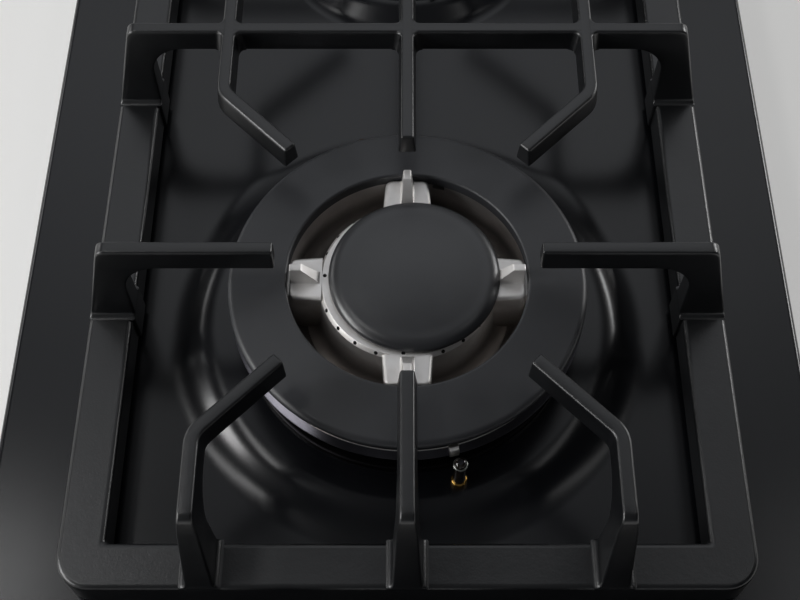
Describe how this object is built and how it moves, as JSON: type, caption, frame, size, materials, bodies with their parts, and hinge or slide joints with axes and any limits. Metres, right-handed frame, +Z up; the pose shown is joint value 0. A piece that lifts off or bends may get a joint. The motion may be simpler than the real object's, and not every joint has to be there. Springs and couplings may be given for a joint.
{
  "type": "gas cooktop",
  "caption": "Built-in black enamelled gas cooktop with a three-ring burner, a smaller burner behind it, a cast grate over both and turning knobs.",
  "frame": {"origin": "middle of the burner box's underside, which is also the middle of the plate's outline in plan", "axes": "+X to the user's right, +Y towards the back of the worktop, +Z up out of the worktop"},
  "size_m": [0.3, 0.51, 0.1084],
  "materials": {
    "enamel_black": "semi-gloss black vitreous enamel on steel",
    "enamel_matt": "matt black vitreous enamel",
    "cast_iron_enamelled": "matt black enamelled cast iron",
    "die_cast_aluminium": "bright die-cast aluminium, satin",
    "cup_aluminium": "die-cast aluminium, dull",
    "galvanised_steel": "galvanised sheet steel",
    "steel_screw": "zinc-plated steel",
    "stainless_pin": "heat-resisting steel wire",
    "brass": "machined brass",
    "copper_sheath": "copper sheath",
    "insulator": "glazed alumina",
    "black_plastic": "matt black heat-resistant plastic",
    "pale_plastic": "natural polyamide",
    "foam_seal": "closed-cell foam",
    "rubber": "silicone rubber"
  },
  "bodies": {
    "hob": {"top_plate": "enamel_black", "burner_box": "galvanised_steel", "worktop_seal": "foam_seal", "clamp_brackets": "galvanised_steel", "clamp_screws": "steel_screw", "front_support_rail": "galvanised_steel", "rear_support_rail": "galvanised_steel", "cup_screws": "steel_screw", "wok_cup": "cup_aluminium", "rear_cup": "cup_aluminium", "front_electrode_ceramic": "insulator", "front_electrode_pin": "stainless_pin", "front_thermocouple": "copper_sheath", "rear_electrode_ceramic": "insulator", "rear_electrode_pin": "stainless_pin", "rear_thermocouple": "copper_sheath", "spark_module": "black_plastic", "terminal_block": "pale_plastic", "cable_gland": "black_plastic", "gas_rail": "galvanised_steel", "rail_saddles": "galvanised_steel", "inlet_pipe": "galvanised_steel", "inlet_connector": "brass", "spindle_gaskets": "rubber", "front_tap": "cup_aluminium", "front_ignition_switch": "pale_plastic", "front_supply_pipe": "cup_aluminium", "front_injector_holder": "brass", "front_injector": "brass", "rear_tap": "cup_aluminium", "rear_ignition_switch": "pale_plastic", "rear_supply_pipe": "cup_aluminium", "rear_injector_holder": "brass", "rear_injector": "brass"},
    "grate_body": {"grate": "cast_iron_enamelled", "grate_feet": "rubber"},
    "wok_head": {"wok_spreader": "die_cast_aluminium"},
    "wok_ring": {"wok_ring_cap": "enamel_matt"},
    "wok_centre": {"wok_centre_cap": "enamel_matt"},
    "rear_head": {"rear_spreader": "die_cast_aluminium"},
    "rear_lid": {"rear_cap": "enamel_matt"},
    "front_press": {"front_tap_plunger": "brass"},
    "front_control": {"front_spindle": "stainless_pin", "front_knob": "black_plastic"},
    "rear_press": {"rear_tap_plunger": "brass"},
    "rear_control": {"rear_spindle": "stainless_pin", "rear_knob": "black_plastic"}
  },
  "joints": [
    {"name": "grate_lift", "type": "slide", "parent": "hob", "child": "grate_body", "axis": [0, 0, 1], "range_m": [0, 0.06]},
    {"name": "wok_head_lift", "type": "slide", "parent": "hob", "child": "wok_head", "axis": [0, 0, 1], "range_m": [0, 0.008]},
    {"name": "wok_ring_lift", "type": "slide", "parent": "wok_head", "child": "wok_ring", "axis": [0, 0, 1], "range_m": [0, 0.008]},
    {"name": "wok_centre_lift", "type": "slide", "parent": "wok_head", "child": "wok_centre", "axis": [0, 0, 1], "range_m": [0, 0.04]},
    {"name": "rear_head_lift", "type": "slide", "parent": "hob", "child": "rear_head", "axis": [0, 0, 1], "range_m": [0, 0.011]},
    {"name": "rear_cap_lift", "type": "slide", "parent": "rear_head", "child": "rear_lid", "axis": [0, 0, 1], "range_m": [0, 0.011]},
    {"name": "front_knob_press", "type": "slide", "parent": "hob", "child": "front_press", "axis": [0, 0, -1], "range_m": [0, 0.003], "stiffness_N_per_m": 900, "springref_m": -0.004},
    {"name": "front_knob_turn", "type": "hinge", "parent": "front_press", "child": "front_control", "pos_m": [-0.045, -0.213, 0.06], "axis": [0, 0, 1], "range_deg": [0, 210]},
    {"name": "rear_knob_press", "type": "slide", "parent": "hob", "child": "rear_press", "axis": [0, 0, -1], "range_m": [0, 0.003], "stiffness_N_per_m": 900, "springref_m": -0.004},
    {"name": "rear_knob_turn", "type": "hinge", "parent": "rear_press", "child": "rear_control", "pos_m": [0.045, -0.213, 0.06], "axis": [0, 0, 1], "range_deg": [0, 210]}
  ]
}
